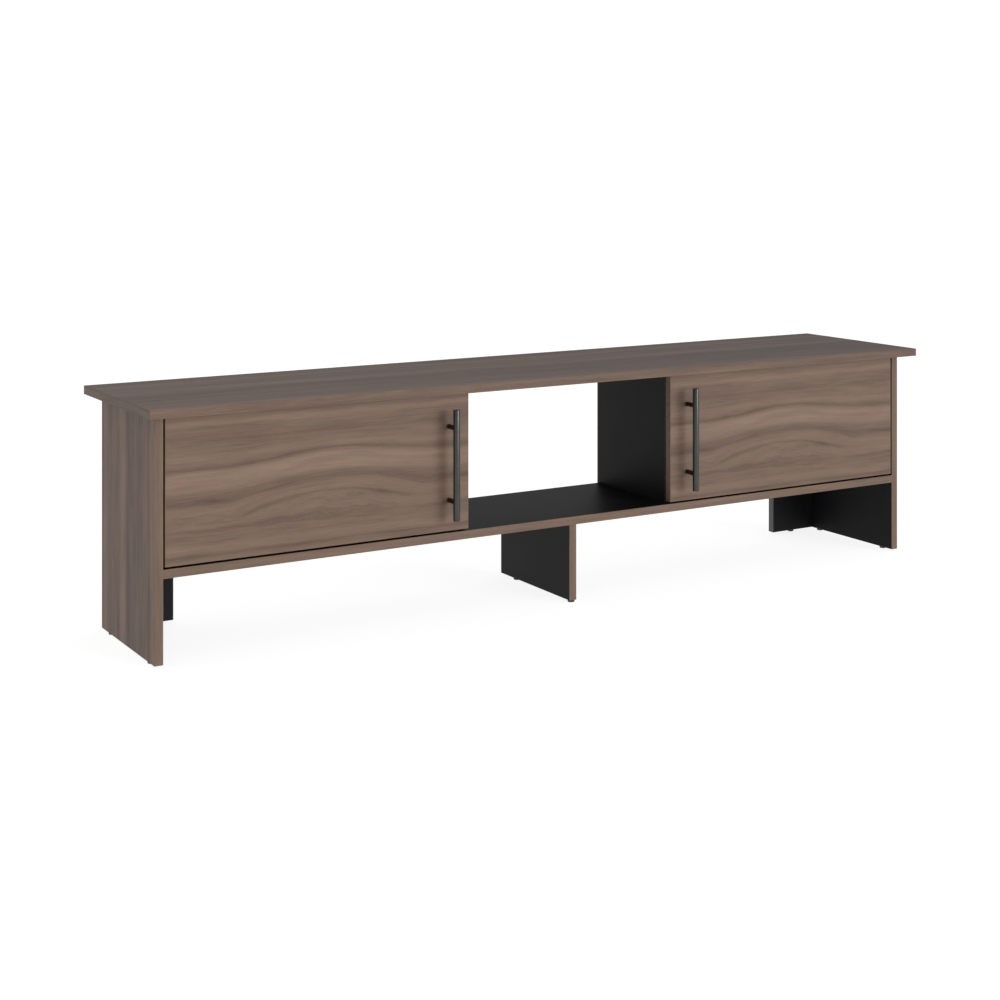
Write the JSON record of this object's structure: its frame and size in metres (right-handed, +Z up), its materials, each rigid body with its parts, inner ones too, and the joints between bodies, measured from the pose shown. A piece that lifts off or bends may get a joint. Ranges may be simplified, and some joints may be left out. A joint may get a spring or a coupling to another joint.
{
  "type": "tv stand",
  "caption": "Long low TV stand: overhanging top board, open middle bay, a cabinet with an inset door and round bar handle at each end, on side panels and leg boards.",
  "frame": {"origin": "on the floor, at the middle of the bounding box's base", "axes": "+X to the right seen from the doors' side, -Y towards the front, +Z up"},
  "size_m": [1.66, 0.342, 0.425],
  "materials": {
    "walnut_board": "grey-brown walnut melamine, satin, with matching edge banding",
    "black_board": "black melamine, satin, with walnut banding on the seen front edges",
    "hardboard": "3 mm brown hardboard, black on the cabinet side",
    "handle_metal": "black satin lacquer",
    "hinge_steel": "nickel-plated pressed steel",
    "cam_zinc": "die-cast zinc, dull",
    "foot_plastic": "black moulded plastic",
    "bumper_rubber": "soft translucent pad"
  },
  "bodies": {
    "case": {"top_panel": "walnut_board", "bottom_panel": "black_board", "centre_leg": "black_board", "centre_leg_foot_front": "foot_plastic", "centre_leg_foot_back": "foot_plastic", "left_side_panel": "walnut_board", "left_partition": "black_board", "left_rear_leg": "black_board", "left_back_panel": "hardboard", "left_side_foot_front": "foot_plastic", "left_side_foot_back": "foot_plastic", "left_rear_leg_foot": "foot_plastic", "left_top_cam_lock_front": "cam_zinc", "left_bottom_cam_lock_front": "cam_zinc", "left_top_cam_lock_back": "cam_zinc", "left_bottom_cam_lock_back": "cam_zinc", "left_hinge_base_upper": "hinge_steel", "left_hinge_arm_upper": "hinge_steel", "left_door_bumper_upper": "bumper_rubber", "left_hinge_base_lower": "hinge_steel", "left_hinge_arm_lower": "hinge_steel", "left_door_bumper_lower": "bumper_rubber", "right_side_panel": "walnut_board", "right_partition": "black_board", "right_rear_leg": "black_board", "right_back_panel": "hardboard", "right_side_foot_front": "foot_plastic", "right_side_foot_back": "foot_plastic", "right_rear_leg_foot": "foot_plastic", "right_top_cam_lock_front": "cam_zinc", "right_bottom_cam_lock_front": "cam_zinc", "right_top_cam_lock_back": "cam_zinc", "right_bottom_cam_lock_back": "cam_zinc", "right_hinge_base_upper": "hinge_steel", "right_hinge_arm_upper": "hinge_steel", "right_door_bumper_upper": "bumper_rubber", "right_hinge_base_lower": "hinge_steel", "right_hinge_arm_lower": "hinge_steel", "right_door_bumper_lower": "bumper_rubber"},
    "left_door": {"left_door": "walnut_board", "left_handle_bar": "handle_metal", "left_handle_post_upper": "handle_metal", "left_handle_screw_upper": "hinge_steel", "left_hinge_cup_upper": "hinge_steel", "left_handle_post_lower": "handle_metal", "left_handle_screw_lower": "hinge_steel", "left_hinge_cup_lower": "hinge_steel"},
    "right_door": {"right_door": "walnut_board", "right_handle_bar": "handle_metal", "right_handle_post_upper": "handle_metal", "right_handle_screw_upper": "hinge_steel", "right_hinge_cup_upper": "hinge_steel", "right_handle_post_lower": "handle_metal", "right_handle_screw_lower": "hinge_steel", "right_hinge_cup_lower": "hinge_steel"},
    "left_hinge_links": {"left_hinge_link_upper": "hinge_steel", "left_hinge_link_lower": "hinge_steel"},
    "right_hinge_links": {"right_hinge_link_upper": "hinge_steel", "right_hinge_link_lower": "hinge_steel"}
  },
  "joints": [
    {"name": "left_door_hinge", "type": "hinge", "parent": "case", "child": "left_door", "pos_m": [-0.792, -0.136, 0.285], "axis": [0, 0, -1], "range_deg": [0, 105]},
    {"name": "left_link_pivot", "type": "hinge", "parent": "case", "child": "left_hinge_links", "pos_m": [-0.7863, -0.1174, 0.285], "axis": [0, 0, -1], "range_deg": [0, 69]},
    {"name": "right_door_hinge", "type": "hinge", "parent": "case", "child": "right_door", "pos_m": [0.792, -0.136, 0.285], "axis": [0, 0, 1], "range_deg": [0, 105]},
    {"name": "right_link_pivot", "type": "hinge", "parent": "case", "child": "right_hinge_links", "pos_m": [0.7863, -0.1174, 0.285], "axis": [0, 0, 1], "range_deg": [0, 69]}
  ],
  "couplings": [
    {"joint": "left_link_pivot", "follows": "left_door_hinge", "ratio": 0.653},
    {"joint": "right_link_pivot", "follows": "right_door_hinge", "ratio": 0.653}
  ]
}
